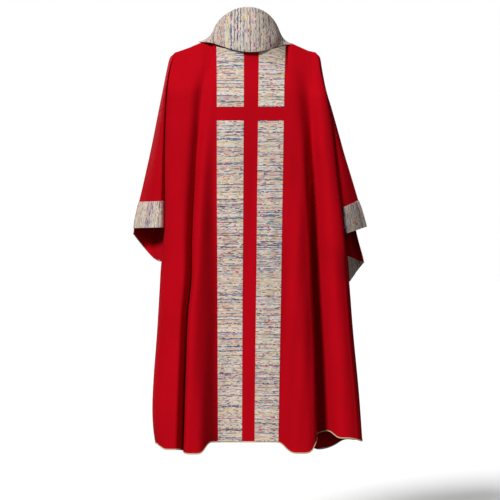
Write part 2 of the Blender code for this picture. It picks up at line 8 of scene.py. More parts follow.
import bpy
import numpy as np
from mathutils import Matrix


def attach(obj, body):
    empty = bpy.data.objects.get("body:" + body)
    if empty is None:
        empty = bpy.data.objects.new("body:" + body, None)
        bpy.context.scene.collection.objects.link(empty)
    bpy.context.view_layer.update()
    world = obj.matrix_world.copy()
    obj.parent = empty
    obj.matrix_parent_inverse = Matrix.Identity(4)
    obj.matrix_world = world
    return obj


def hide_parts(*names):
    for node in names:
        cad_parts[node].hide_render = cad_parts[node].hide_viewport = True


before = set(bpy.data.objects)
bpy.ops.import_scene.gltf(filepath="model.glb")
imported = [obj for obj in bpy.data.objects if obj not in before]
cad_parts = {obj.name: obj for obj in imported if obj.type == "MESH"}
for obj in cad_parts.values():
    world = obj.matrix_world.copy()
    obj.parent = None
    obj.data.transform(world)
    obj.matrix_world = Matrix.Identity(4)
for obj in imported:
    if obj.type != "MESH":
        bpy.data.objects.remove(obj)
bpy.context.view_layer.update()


SEWN = "_sewn"            # ends the name of each piece
MATERIALS = {}            # by slot, filled by make_materials()

# ---- sizes, in metres ---------------------------------------------------------------
CLOTH = 0.0015            # red cloth
TRIM = 0.0012             # tweed
GAP = 0.0005              # air between two layers that touch
SEAM = 0.0012             # each half stands this far off the plane of the seams
ARM_SEAM = 0.0004         # and this much more at the outside of the sleeves
CUFF_WIDTH = 0.082
NECK_HALF = 0.118
NECK_SIDE = 0.006         # height of the neckline beside the neck
BACK_NECK_DROP = 0.018
FRONT_NECK_DROP = 0.170
NECK_FORWARD = {1: 0.082, -1: 0.135}   # how far the neckline swings out, back and front
BACK_HEM, FRONT_HEM = -1.248, -1.240
BACK_CROSS = (-0.195, -0.239)          # top and bottom of the gap between the bands
FRONT_CROSS = (-0.330, -0.374)
YARN = 0.0027             # pitch of the tweed's yarns
YARN_RELIEF = 0.00035     # how far a yarn stands out of the tweed
VIEW_DISTANCE = 6.0       # camera to the plane of the seams
VIEW_HEIGHT = -0.646      # height of the camera
VIEW_PLANE = 0.09         # the plane that fills the frame's width
VIEW_WIDTH = 1.575        # width of the frame in that plane
SPREAD_LIMIT = -0.06      # cloth before this plane is not spread any further

# In the tables, hand 1 is the wearer's left and -1 the right, side 1 the back and -1 the front.
UNDERARM = {1: -0.690, -1: -0.747}
LEFT_FRONT_CUFF_RISE = 0.008   # the left front cuff starts this much above the underarm
# Outlines of the body and of the sleeves by hand: (height, x) from the shoulder downwards.
BODY = {
    1: [(0.0, 0.224), (-0.035, 0.239), (-0.079, 0.2535), (-0.14, 0.262), (-0.33, 0.268),
        (-0.58, 0.268), (-0.70, 0.280), (-0.80, 0.286), (-0.90, 0.292), (-1.10, 0.306),
        (-1.20, 0.305), (-1.30, 0.290)],
    -1: [(0.0, -0.192), (-0.038, -0.211), (-0.098, -0.2255), (-0.167, -0.244),
         (-0.262, -0.2605), (-0.388, -0.274), (-0.451, -0.281), (-0.517, -0.289),
         (-0.60, -0.297), (-0.747, -0.312), (-0.90, -0.324), (-1.10, -0.343), (-1.30, -0.357)]}
SLEEVE = {
    1: [(0.0, 0.232), (-0.028, 0.2426), (-0.041, 0.252), (-0.079, 0.2615), (-0.142, 0.274),
        (-0.205, 0.2867), (-0.331, 0.3119), (-0.457, 0.340), (-0.551, 0.362), (-0.60, 0.3665),
        (-0.70, 0.370)],
    -1: [(0.0, -0.200), (-0.030, -0.214), (-0.041, -0.2205), (-0.079, -0.2268),
         (-0.142, -0.2394), (-0.205, -0.258), (-0.331, -0.293), (-0.457, -0.331),
         (-0.52, -0.347), (-0.70, -0.362)]}
RIGHT_SLEEVE_FRONT = SLEEVE[-1][:6] + [(-0.331, -0.293), (-0.457, -0.326), (-0.58, -0.333),
                                       (-0.62, -0.342), (-0.69, -0.359), (-0.76, -0.352)]
# Height of the shoulder seam by hand: (distance from the middle, height).
SHOULDER = {
    1: [(0.118, 0.006), (0.150, 0.0085), (0.164, 0.003), (0.205, -0.0153), (0.232, -0.0275),
        (0.26, -0.040)],
    -1: [(0.118, 0.006), (0.130, 0.0050), (0.142, -0.0002), (0.176, -0.016), (0.200, -0.0271),
         (0.26, -0.050)]}
SHOULDER_FALL = 0.009     # the shoulder's end lies this much below that line
# Distance of the back and the front from the plane of the seams: (height, distance).
BACK_DEPTH = [(0.0, 0.060), (-0.10, 0.092), (-0.22, 0.108), (-0.50, 0.122), (-0.90, 0.142),
              (-1.30, 0.165)]
FRONT_DEPTH = [(0.0, 0.090), (-0.12, 0.150), (-0.28, 0.172), (-0.60, 0.178), (-0.95, 0.190),
               (-1.30, 0.210)]
# How far back the garment's middle, its side seams and the sleeves' outsides hang.
MIDDLE_Y = [(0.0, 0.0), (-0.10, 0.012), (-0.30, 0.028), (-1.30, 0.030)]
SIDE_Y = {1: [(0.0, 0.0), (-0.10, 0.012), (-0.30, 0.028), (-1.30, 0.045)],
          -1: [(0.0, 0.0), (-0.10, 0.012), (-0.30, 0.030), (-0.70, 0.060), (-1.30, 0.120)]}
ARM_Y = {1: [(0.0, 0.0), (-0.10, -0.004), (-0.30, -0.022), (-0.60, -0.050), (-0.75, -0.055)],
         -1: [(0.0, 0.0), (-0.10, 0.030), (-0.30, 0.070), (-0.46, 0.056), (-0.60, 0.020),
              (-0.75, -0.004)]}
BODY_ROUNDNESS = 3.0
RIGHT_BACK_ROUNDNESS = [(-0.25, 3.6), (-0.70, 4.4), (-0.95, 3.2), (-1.30, 1.9)]
ARMPIT = {(1, 1): 0.014, (1, -1): 0.058,   # depth of the groove by side and hand
          (-1, 1): 0.062, (-1, -1): 0.062}
SHOULDER_DEPTH = {1: 0.065, -1: 0.118}   # and of the cloth there on the shoulder, by side
SLEEVE_GROOVE = 0.026                    # how steeply the left sleeve rises out of it
SLEEVE_FULLNESS = {(1, 1): 0.030, (1, -1): 0.008, (-1, 1): 0.082, (-1, -1): 0.036}
SHOULDER_DROP = 0.15                     # height over which the cloth turns over the shoulder
COLUMN_FALL = 1.26        # height from a column's place at the shoulder to that at the hem
HALFWAY, HALF_SHARE = -0.6, 0.45         # a height and share that tell a column's side
# Height of the seam of each cuff at the body and at the sleeve's outside, by side and hand.
CUFF_SEAM = {(1, 1): (-0.492, -0.495), (1, -1): (-0.514, -0.490),
             (-1, 1): (UNDERARM[1] + LEFT_FRONT_CUFF_RISE, -0.594),
             (-1, -1): (UNDERARM[-1] + CUFF_WIDTH, -0.684)}

# Deep folds, each a set of (height, value) outlines: x of the valley's line, depth, half width,
# how far its lips are pinched together, how far its bottom leans towards the wearer's right, and
# how many times wider its slope on the wearer's right is.
STILL = [(-0.20, 0.0), (-1.27, 0.0)]
EVEN = [(-0.20, 1.0), (-1.27, 1.0)]
BACK_FOLDS = [
    ([(-0.05, 0.122), (-0.09, 0.140), (-0.15, 0.151), (-0.268, 0.162), (-0.457, 0.179),
      (-0.614, 0.188), (-0.74, 0.191), (-0.866, 0.203), (-1.27, 0.217)],
     [(-0.035, 0.0), (-0.09, 0.012), (-0.15, 0.018), (-0.20, 0.022), (-0.45, 0.042),
      (-0.70, 0.053), (-0.87, 0.064), (-1.27, 0.072)],
     [(-0.05, 0.018), (-0.15, 0.0145), (-0.30, 0.013), (-0.614, 0.0096), (-0.87, 0.0070),
      (-1.27, 0.0068)],
     [(-0.20, 0.0), (-0.50, 0.0076), (-0.87, 0.0058), (-1.27, 0.0056)],
     [(-0.20, 0.0), (-0.70, 0.006), (-1.27, 0.008)], EVEN),
    ([(-0.10, -0.177), (-0.268, -0.194), (-0.457, -0.201), (-0.646, -0.2045), (-0.80, -0.210),
      (-0.93, -0.2155), (-1.06, -0.219), (-1.18, -0.222), (-1.27, -0.225)],
     [(-0.05, 0.0), (-0.10, 0.012), (-0.20, 0.028), (-0.45, 0.056), (-0.70, 0.085),
      (-1.27, 0.116)],
     [(-0.05, 0.022), (-0.33, 0.014), (-0.50, 0.009), (-0.646, 0.0066), (-1.27, 0.0062)],
     STILL,
     [(-0.15, 0.0), (-0.33, -0.002), (-0.50, -0.008), (-0.646, -0.011), (-1.27, -0.013)],
     [(-0.33, 1.0), (-0.50, 2.2), (-0.646, 3.4), (-0.80, 4.0), (-1.06, 4.5), (-1.27, 4.5)]),
    ([(-0.35, -0.192), (-0.646, -0.196), (-0.93, -0.208), (-1.27, -0.220)],
     [(-0.30, 0.0), (-0.50, 0.012), (-0.646, 0.018), (-1.27, 0.022)],
     [(-0.35, 0.018), (-1.27, 0.022)], STILL, STILL, [(-0.35, 1.0), (-1.27, 1.5)]),
    ([(-0.15, 0.118), (-0.45, 0.108), (-0.70, 0.102), (-1.27, 0.094)],
     [(-0.10, 0.0), (-0.30, 0.014), (-0.45, 0.028), (-0.70, 0.050), (-1.27, 0.080)],
     [(-0.10, 0.020), (-0.70, 0.028), (-1.27, 0.032)], STILL, STILL,
     [(-0.60, 1.0), (-0.80, 2.0), (-1.05, 4.0), (-1.27, 5.5)]),
    ([(-0.15, -0.116), (-1.27, -0.104)], [(-0.30, 0.0), (-1.27, 0.008)],
     [(-0.10, 0.020), (-1.27, 0.026)], STILL, STILL, EVEN),
]
FRONT_PINCH = [(-0.20, 0.0), (-0.70, 0.010), (-1.27, 0.016)]
FRONT_FOLDS = [
    ([(-0.10, 0.150), (-0.70, 0.185), (-1.27, 0.205)],
     [(-0.08, 0.0), (-0.40, 0.026), (-0.80, 0.050), (-1.27, 0.075)],
     [(-0.05, 0.026), (-1.27, 0.030)], FRONT_PINCH, STILL, EVEN),
    ([(-0.10, -0.145), (-0.70, -0.180), (-1.27, -0.215)],
     [(-0.08, 0.0), (-0.40, 0.028), (-0.80, 0.052), (-1.27, 0.078)],
     [(-0.05, 0.026), (-1.27, 0.032)], FRONT_PINCH, STILL, EVEN),
]
# How the hems sag: (x, half width, drop).
BACK_SAG = [(0.176, 0.038, 0.038), (0.248, 0.042, 0.024), (-0.160, 0.052, 0.036),
            (-0.238, 0.035, -0.026), (-0.290, 0.058, -0.012)]
FRONT_SAG = [(-0.225, 0.062, 0.032)]
# Soft waves of the cloth: (height of a wave, waves per metre across, per metre down, phase).
RIPPLES = [(0.0011, 9.0, 0.9, 0.3), (0.0009, 14.0, -1.3, 1.9), (0.0006, 23.0, 1.7, 4.0)]

# Columns by name: (x at the shoulder, x at the hem).
BACK_LINES = [
    ("left_edge", 0.0, 0.0), ("left_lobe", 0.195, 0.270), ("left_near", 0.182, 0.246),
    ("left_fold", 0.165, 0.220), ("left_lip", 0.148, 0.194), ("left_ridge", 0.134, 0.166),
    ("left_band_out", 0.104, 0.101), ("left_band_in", 0.019, 0.025),
    ("right_band_in", -0.0285, -0.015), ("right_band_out", -0.110, -0.0895),
    ("right_rise", -0.120, -0.118), ("right_ridge", -0.133, -0.152),
    ("right_lip", -0.146, -0.186), ("right_fold", -0.161, -0.220),
    ("right_near", -0.176, -0.256), ("right_lobe", -0.188, -0.294), ("right_edge", 0.0, 0.0),
]
FRONT_LINES = [
    ("left_edge", 0.0, 0.0), ("left_lobe", 0.185, 0.250), ("left_near", 0.172, 0.228),
    ("left_fold", 0.157, 0.205), ("left_lip", 0.143, 0.182), ("left_ridge", 0.128, 0.155),
    ("left_band_out", 0.106, 0.104), ("left_band_in", 0.023, 0.023),
    ("right_band_in", -0.023, -0.023), ("right_band_out", -0.106, -0.104),
    ("right_ridge", -0.124, -0.160), ("right_lip", -0.138, -0.190),
    ("right_fold", -0.152, -0.215), ("right_near", -0.168, -0.242),
    ("right_lobe", -0.182, -0.280), ("right_edge", 0.0, 0.0),
]
COLUMN_STEP = 0.005       # width of a column of cloth at the hem
FOLD_STEP = 0.0016        # and beside a deep fold
EDGE_COLUMNS = 32         # columns in the cloth next to each side seam
SLEEVE_COLUMNS = 28
UPPER_ROWS = 13           # rows to each level above the underarm
LOWER_ROWS = 100


def along(knots, value):
    """Smooth value of a (height, value) outline, listed from high to low, at heights."""
    heights = np.array([knot[0] for knot in knots])[::-1]
    values = np.array([knot[1] for knot in knots])[::-1]
    low = np.maximum(np.arange(len(knots)) - 1, 0)
    high = np.minimum(np.arange(len(knots)) + 1, len(knots) - 1)
    slopes = (values[high] - values[low]) / (heights[high] - heights[low])
    at = np.clip(value, heights[0], heights[-1])
    index = np.clip(np.searchsorted(heights, at) - 1, 0, len(knots) - 2)
    span = heights[index + 1] - heights[index]
    t = (at - heights[index]) / span
    value = (2 * t**3 - 3 * t**2 + 1) * values[index] + (3 * t**2 - 2 * t**3) * values[index + 1]
    slope = (t**3 - 2 * t**2 + t) * slopes[index] + (t**3 - t**2) * slopes[index + 1]
    return value + slope * span


def ease(low, high, value):
    """0 below low, 1 above high, smooth between."""
    t = np.clip((value - low) / (high - low), 0.0, 1.0)
    return t * t * (3 - 2 * t)


def by_hand(table, left, height):
    """Values of an outline of the wearer's left or right."""
    return np.where(left, along(table[1], height), along(table[-1], height))


def spread(points):
    """Cloth further from the viewer's side hangs a little wider and longer."""
    depth = np.maximum(points[..., 1], SPREAD_LIMIT)
    factor = (VIEW_DISTANCE - depth) / (VIEW_DISTANCE - VIEW_PLANE)
    out = points.copy()
    out[..., 0] *= factor
    out[..., 2] = VIEW_HEIGHT + (points[..., 2] - VIEW_HEIGHT) * factor
    return out


class Surface:
    """One sewn half of the garment. side is +1 for the back and -1 for the front.

    A point is named by a column and a row. Columns 0 to last are the body's named lines,
    and the sleeves lie one column beyond them. Rows 0 to rim lead from the shoulder to the
    underarm, and the hem is one row below.
    """

    def __init__(self, side, lines, folds, depth, hem, cross, neck_drop, sag):
        self.side, self.folds, self.depth, self.hem = side, folds, depth, hem
        self.neck_drop, self.sag = neck_drop, sag
        self.named = {line[0]: index for index, line in enumerate(lines)}
        self.names = [line[0] for line in lines]
        self.tops = np.array([line[1] for line in lines])
        self.bottoms = np.array([line[2] for line in lines])
        self.last = len(lines) - 1
        top = -neck_drop
        underarm = (UNDERARM[1] + UNDERARM[-1]) / 2
        cuff = underarm + CUFF_WIDTH
        self.levels = np.array(
            [top, (top + cross[0]) / 2, cross[0], cross[1]]
            + [cross[1] + (cuff - cross[1]) * i / 4 for i in range(1, 5)]
            + [cuff + (underarm - cuff) / 2, underarm])
        self.rim = len(self.levels) - 1
        self.cuff_row = self.rim - 2

    def level(self, row):
        return np.interp(row, np.arange(self.rim + 1), self.levels)

    def line_x(self, index, height, share):
        x = self.tops[index] + (self.bottoms[index] - self.tops[index]) * share
        x = np.where(index == 0, along(BODY[1], height), x)
        return np.where(index == self.last, along(BODY[-1], height), x)

    def body_x(self, column, height, share):
        index = np.clip(np.floor(column).astype(int), 0, self.last - 1)
        part = column - index
        part = np.where(index == 0, part ** 2, part)
        part = np.where(index == self.last - 1, 1 - (1 - part) ** 2, part)
        here = self.line_x(index, height, share)
        return here + (self.line_x(index + 1, height, share) - here) * part

    def shoulder_height(self, x):
        reach = np.abs(x)
        dip = np.sqrt(np.maximum(0.0, 1 - (reach / NECK_HALF) ** 2))
        neck = NECK_SIDE - (self.neck_drop + NECK_SIDE) * dip
        left = np.interp(reach, *zip(*SHOULDER[1]))
        right = np.interp(reach, *zip(*SHOULDER[-1]))
        return np.where(reach < NECK_HALF, neck, np.where(x > 0, left, right))

    def neckline_y(self, x):
        reach = np.minimum(np.abs(x) / NECK_HALF, 1.0)
        return self.side * NECK_FORWARD[self.side] * np.sqrt(np.maximum(0.0, 1 - reach ** 2))

    def body_height(self, column, row, top_x):
        x_guess = self.body_x(column, np.full_like(column, HALFWAY), HALF_SHARE)
        left = x_guess > 0
        near_edge = ease(0.72, 1.0, np.abs(x_guess / by_hand(BODY, left, HALFWAY)))
        underarm = np.where(left, UNDERARM[1], UNDERARM[-1])
        level = self.level(np.minimum(row, self.rim))
        start = self.shoulder_height(top_x)
        plain = level + (start - self.levels[0]) * np.maximum(0.0, 1 - row / 2)
        cuff = underarm + CUFF_WIDTH
        if self.side < 0:
            cuff = np.where(left, underarm + LEFT_FRONT_CUFF_RISE, cuff)
        stretch = (level - self.levels[0]) / (self.levels[self.cuff_row] - self.levels[0])
        step = np.clip((row - self.cuff_row) / 2, 0.0, 1.0)
        sewn = np.where(row <= self.cuff_row, start + (cuff - start) * stretch,
                        cuff + (underarm - cuff) * step)
        return plain + (sewn - plain) * near_edge

    def hem_height(self, x):
        height = np.full_like(x, self.hem)
        for centre, width, drop in self.sag:
            height = height - drop * np.exp(-((x - centre) / width) ** 4)
        return height

    def place_body(self, column, row):
        top_x = self.body_x(column, np.zeros_like(column), 0.0)
        start = self.body_height(column, np.minimum(row, self.rim), top_x)
        hem_x = self.body_x(column, np.full_like(column, self.hem), 1.0)
        lower = np.clip(row - self.rim, 0.0, 1.0)
        height = start + (self.hem_height(hem_x) - start) * lower
        share = np.clip(-height / COLUMN_FALL, 0.0, 1.0)
        return self.drape(self.body_x(column, height, share), height, top_x)

    def drape(self, x, height, top_x):
        """The body's cross-section at a height, with its folds, rounded over the shoulder."""
        left = x > 0
        reach = np.minimum(np.abs(x / by_hand(BODY, left, height)), 1.0)
        roundness = np.where(left | (self.side < 0), BODY_ROUNDNESS,
                             along(RIGHT_BACK_ROUNDNESS, height))
        bulge = (1 - reach ** roundness) ** (1 / roundness)
        groove = np.where(left, self.armpit(1, height), self.armpit(-1, height))
        seam, middle = by_hand(SIDE_Y, left, height), along(MIDDLE_Y, height)
        depth = along(self.depth, height) - self.side * (seam - middle)
        y = seam + self.side * (groove + (depth - groove) * bulge)
        shift = np.zeros_like(x)
        for line, deep, width, pinch, lean, slope in self.folds:
            across = (x - along(line, height)) / along(width, height)
            across = np.where(across < 0, across / along(slope, height), across)
            pull = np.exp(-0.5 * across ** 2)
            y = y - self.side * along(deep, height) * pull
            shift = shift - (along(pinch, height) * across + along(lean, height)) * pull
        free = ease(0.10, 0.60, -height) * ease(0.0, 0.25, 1 - reach)
        for size, waves, falls, phase in RIPPLES:
            turn = 2 * math.pi * (waves * x + falls * height) + phase + self.side
            y = y + self.side * size * free * np.sin(turn)
        start_y = self.neckline_y(top_x)
        y = start_y + (y - start_y) * self.over_shoulder(top_x, height)
        return np.stack([x + shift, y, height], axis=-1)

    def over_shoulder(self, top_x, height):
        """0 on the shoulder seam, 1 where the cloth hangs straight below it."""
        drop = self.shoulder_height(top_x) - height
        return np.sin(0.5 * math.pi * np.clip(drop / SHOULDER_DROP, 0.0, 1.0))

    def armpit(self, hand, height):
        full = ARMPIT[self.side, hand]
        full = full + (SHOULDER_DEPTH[self.side] - full) * ease(-0.22, -0.06, height)
        return full * ease(UNDERARM[hand], UNDERARM[hand] + 0.13, height)

    def cuff_line(self, hand, across):
        """Height of the seam between sleeve and cuff."""
        inner, outer = CUFF_SEAM[self.side, hand]
        if self.side < 0 and hand > 0:
            across = across ** 1.6
        return inner + (outer - inner) * across

    def cuff_run(self, hand, across):
        """Offset from the cuff's seam to the sleeve's cut edge."""
        if self.side < 0 and hand > 0:
            forward = ease(0.0, 0.35, across)
            return 0.0, -0.95 * CUFF_WIDTH * forward, 0.012 * forward + 0.002
        if self.side < 0:
            turn = np.arccos(1.0 - across)
            return 0.0, -CUFF_WIDTH * np.sin(turn), -CUFF_WIDTH * np.cos(turn)
        return (0.0 if hand > 0 else -0.014 * across), 0.0, -CUFF_WIDTH

    def place_sleeve(self, hand, across, row):
        """across runs from 0 at the body's edge to 1 at the sleeve's outside."""
        body = BODY[hand]
        sleeve = RIGHT_SLEEVE_FRONT if self.side < 0 and hand < 0 else SLEEVE[hand]
        body_top, sleeve_top = along(body, 0.0), along(sleeve, 0.0)
        top_x = body_top + (sleeve_top - body_top) * across
        start = self.shoulder_height(top_x) - SHOULDER_FALL * across ** 2
        stretch = (self.level(np.minimum(row, self.cuff_row)) - self.levels[0])
        stretch = stretch / (self.levels[self.cuff_row] - self.levels[0])
        run = np.clip((row - self.cuff_row) / 2, 0.0, 1.0)
        run_x, run_y, run_z = self.cuff_run(hand, across)
        height = start + (self.cuff_line(hand, across) - start) * stretch + run_z * run
        inner_x, outer_x = along(body, height), along(sleeve, height)
        inner_y = along(SIDE_Y[hand], height) + self.side * self.armpit(hand, height)
        x = inner_x + (outer_x - inner_x) * across + run_x * run
        y = inner_y + (along(ARM_Y[hand], height) - inner_y) * across
        y = y + self.side * SLEEVE_FULLNESS[self.side, hand] * np.sin(math.pi * across)
        if self.side > 0 and hand > 0:
            rise = 1 - np.exp(-(across / 0.11) ** 2)
            y = y + SLEEVE_GROOVE * rise * (1 - across) * ease(UNDERARM[1], -0.56, height)
        y = y * self.over_shoulder(top_x, height)
        y = y + self.side * ARM_SEAM * across + run_y * run
        return np.stack([x, y, height], axis=-1)

    def top_seam(self, hand):
        """The seam from the neck over the shoulder and down the sleeve's outside to the cuff."""
        body_top, sleeve_top = along(BODY[hand], 0.0), along(SLEEVE[hand], 0.0)
        x = np.linspace(hand * 0.124, sleeve_top, 30)
        across = np.clip((x - body_top) / (sleeve_top - body_top), 0.0, 1.0)
        z = self.shoulder_height(x) - SHOULDER_FALL * across ** 2
        shoulder = np.stack([x, np.zeros_like(x), z], axis=1)
        z = np.linspace(z[-1], -0.485, 120)[1:]
        y = along(ARM_Y[hand], z) * self.over_shoulder(np.full_like(z, sleeve_top), z)
        return np.concatenate([shoulder, np.stack([along(SLEEVE[hand], z), y, z], axis=1)])

    def at(self, column, row):
        """Points of the sewn surface, for arrays of columns and rows."""
        body = self.place_body(np.clip(column, 0, self.last), row)
        left = self.place_sleeve(1, np.clip(-column, 0.0, 1.0), row)
        right = self.place_sleeve(-1, np.clip(column - self.last, 0.0, 1.0), row)
        points = np.where((column < 0)[..., None], left, body)
        points = np.where((column > self.last)[..., None], right, points)
        points[..., 1] += self.side * SEAM
        return spread(points)

    def grid(self, columns, rows):
        """Points and outward normals over a grid of columns and rows."""
        column, row = np.meshgrid(np.asarray(columns, float), np.asarray(rows, float))
        step = 0.01
        points = self.at(column, row)
        low, high = -1.0, self.last + 1.0
        east = self.at(np.minimum(column + step, high), row)
        west = self.at(np.maximum(column - step, low), row)
        south = self.at(column, np.minimum(row + step, self.rim + 1))
        north = self.at(column, np.maximum(row - step, 0.0))
        normals = np.cross(south - north, east - west) * self.side
        length = np.linalg.norm(normals, axis=2, keepdims=True)
        return points, normals / np.maximum(length, 1e-12)

    def cloth_columns(self):
        """Columns of the whole panel."""
        found = [-np.linspace(1.0, 0.0, SLEEVE_COLUMNS, endpoint=False) ** 1.6]
        for index in range(self.last):
            edge = index in (0, self.last - 1)
            width = abs(self.bottoms[index + 1] - self.bottoms[index])
            fold = any(name.endswith("_fold") for name in self.names[index:index + 2])
            step = FOLD_STEP if fold else COLUMN_STEP
            count = EDGE_COLUMNS if edge else max(2, round(width / step))
            found.append(np.linspace(index, index + 1, count, endpoint=False))
        found.append(np.linspace(self.last, self.last + 1, SLEEVE_COLUMNS + 1))
        return np.concatenate(found)

    def cloth_rows(self):
        upper = np.linspace(0.0, self.rim, self.rim * UPPER_ROWS, endpoint=False)
        return np.concatenate([upper, np.linspace(self.rim, self.rim + 1, LOWER_ROWS + 1)])


# ---- meshes -------------------------------------------------------------------------
def unit(vectors):
    return vectors / np.maximum(np.linalg.norm(vectors, axis=-1, keepdims=True), 1e-12)


def distances(line):
    """Length along a line of points, from its first."""
    steps = np.linalg.norm(np.diff(line, axis=0), axis=1)
    return np.concatenate([[0.0], np.cumsum(steps)])


def resample(line, steps):
    """Points of a line at lengths along it."""
    reach = distances(line)
    return np.stack([np.interp(steps, reach, line[:, k]) for k in range(3)], axis=-1)


def make_object(name, vertices, faces, slot, uv=None, sharp=50):
    """A smooth mesh in a slot's material, which rides on the garment.

    It stands for the CAD node it is named after, where there is one.
    """
    mesh = bpy.data.meshes.new(name)
    mesh.from_pydata([tuple(v) for v in vertices], [], [tuple(f) for f in faces])
    if uv is not None:
        layer = mesh.uv_layers.new(name="UVMap")
        layer.data.foreach_set("uv", np.asarray(uv, np.float32).ravel())
    mesh.materials.append(MATERIALS[slot])
    mesh.validate()
    mesh.shade_smooth()
    mesh.set_sharp_from_angle(angle=math.radians(sharp))
    item = bpy.data.objects.new(name + SEWN, mesh)
    bpy.context.scene.collection.objects.link(item)
    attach(item, "root")
    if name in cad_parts:
        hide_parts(name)
    return item


def shell(name, points, normals, inner, outer, slot, uv, cells=None, wrap=False, lift=None):
    """Closed sheet between two offsets from a grid, with a rounded rim."""
    rows, columns = points.shape[:2]
    if cells is None:
        cells = np.ones((rows - 1, columns if wrap else columns - 1), bool)
    top = outer if lift is None else outer + lift[..., None]
    high = points + normals * top
    low = points + normals * inner
    r, c = np.nonzero(cells)
    corner = [(r, c), (r, c + 1), (r + 1, c + 1), (r + 1, c)]
    uv_columns = uv.shape[1]
    vertex = np.stack([i * columns + j % columns for i, j in corner], axis=1)
    mark = np.stack([i * uv_columns + j for i, j in corner], axis=1)
    count = rows * columns
    padded = np.pad(cells, 1)
    if wrap:
        padded[:, 0], padded[:, -1] = padded[:, -2], padded[:, 1]
    neighbours = ((padded[:-2, 1:-1], 0), (padded[1:-1, 2:], 1),
                  (padded[2:, 1:-1], 2), (padded[1:-1, :-2], 3))
    flat = points.reshape(-1, 3)
    push = np.zeros_like(flat)
    faces, marks = [vertex, vertex[:, ::-1] + count], [mark, mark[:, ::-1]]
    for near, k in neighbours:
        rim = ~near[r, c]
        i, j = vertex[rim, k], vertex[rim, (k + 1) % 4]
        back_i, back_j = vertex[rim, (k + 3) % 4], vertex[rim, (k + 2) % 4]
        np.add.at(push, i, unit(flat[i] - flat[back_i]))
        np.add.at(push, j, unit(flat[j] - flat[back_j]))
        u, v = mark[rim, k], mark[rim, (k + 1) % 4]
        faces.append(np.stack([j, i, i + 2 * count, j + 2 * count], axis=1))
        faces.append(np.stack([j + 2 * count, i + 2 * count, i + count, j + count], axis=1))
        marks += [np.stack([v, u, u, v], axis=1)] * 2
    middle = (high + low).reshape(-1, 3) / 2 + unit(push) * (outer - inner) * 0.4
    vertices = np.concatenate([high.reshape(-1, 3), low.reshape(-1, 3), middle])
    faces, marks = np.concatenate(faces), np.concatenate(marks)
    a, b, d = vertices[faces[:, 0]], vertices[faces[:, 1]], vertices[faces[:, 2]]
    e = vertices[faces[:, 3]]
    volume = (a * np.cross(b, d)).sum() + (a * np.cross(d, e)).sum()
    if volume < 0:
        faces, marks = faces[:, ::-1], marks[:, ::-1]
    used, faces = np.unique(faces, return_inverse=True)
    faces = faces.reshape(-1, 4)
    return make_object(name, vertices[used], faces, slot, uv.reshape(-1, 2)[marks.reshape(-1)])


def loft_faces(base, rings, sides):
    """Faces through rings of points from the vertex base on, closed at both ends."""
    j = np.arange(sides)
    k = (j + 1) % sides
    starts = base + sides * np.arange(rings)
    faces = [tuple(face) for a, b in zip(starts[:-1], starts[1:])
             for face in np.stack([a + j, a + k, b + k, b + j], axis=1)]
    return faces + [tuple(starts[0] + j[::-1]), tuple(starts[-1] + j)]


def loft(name, path, rings, around_ring, slot):
    """A closed loft of rings of points along a path. around_ring is the way round each ring."""
    count, sides = rings.shape[:2]
    reach = distances(path)
    uv = [(reach[i + a], around_ring[j + b]) for i in range(count - 1) for j in range(sides)
          for a, b in ((0, 0), (0, 1), (1, 1), (1, 0))] + [(0.0, 0.0)] * (2 * sides)
    faces = loft_faces(0, count, sides)
    return outward(make_object(name, rings.reshape(-1, 3), faces, slot, uv))


def cord(name, path, radius, slot, lobes, pitch, sides=10):
    """A cord along a path. lobes twist round it once in each pitch."""
    ahead = unit(np.gradient(path, axis=0))
    up = np.broadcast_to(np.array((0.0, 0.0, 1.0)), ahead.shape)
    across = unit(np.cross(ahead, up))
    up = np.cross(across, ahead)
    angle = 2 * math.pi * np.arange(sides) / sides
    turn = 2 * math.pi * distances(path) / pitch
    reach = radius * (1 + 0.16 * np.cos(lobes * (angle[None] - turn[:, None]))) / 1.16
    rings = (path[:, None] + reach[..., None] * (np.cos(angle)[None, :, None] * across[:, None]
                                                 + np.sin(angle)[None, :, None] * up[:, None]))
    return loft(name, path, rings, 2 * math.pi * radius / sides * np.arange(sides + 1), slot)


def outward(item):
    """Turns a closed mesh's faces outwards."""
    mesh = item.data
    total = 0.0
    for face in mesh.polygons:
        points = [mesh.vertices[v].co for v in face.vertices]
        for i in range(1, len(points) - 1):
            total += points[0].dot(points[i].cross(points[i + 1]))
    if total < 0:
        mesh.flip_normals()
    return item


TAPE_PROFILE = np.array([
    (-0.5, 0.0), (-0.46, 0.38), (-0.38, 0.5), (0.0, 0.5), (0.38, 0.5), (0.46, 0.38),
    (0.5, 0.0), (0.46, -0.38), (0.38, -0.5), (0.0, -0.5), (-0.38, -0.5), (-0.46, -0.38)])


def ribbon(name, path, width_way, thick_way, width, thickness, slot):
    """A flat tape with rounded edges along a path. thick_way is one way or one for each point."""
    path = np.asarray(path, float)
    across = np.array(width_way, float) * width
    through = np.broadcast_to(np.array(thick_way, float), path.shape) * thickness
    a, b = TAPE_PROFILE.T
    rings = path[:, None] + across * a[:, None] + through[:, None] * b[:, None]
    return loft(name, path, rings, width * np.append(a, a[0]), slot)


STITCH_PITCH = 0.0042
STITCH_LENGTH = 0.0027
STITCH_RADIUS = 0.00028
STITCH_LIFT = 0.0004      # height of a stitch's middle above the tweed
STITCH_RINGS = ((-0.5, 0.35), (-0.34, 1.0), (0.34, 1.0), (0.5, 0.35))


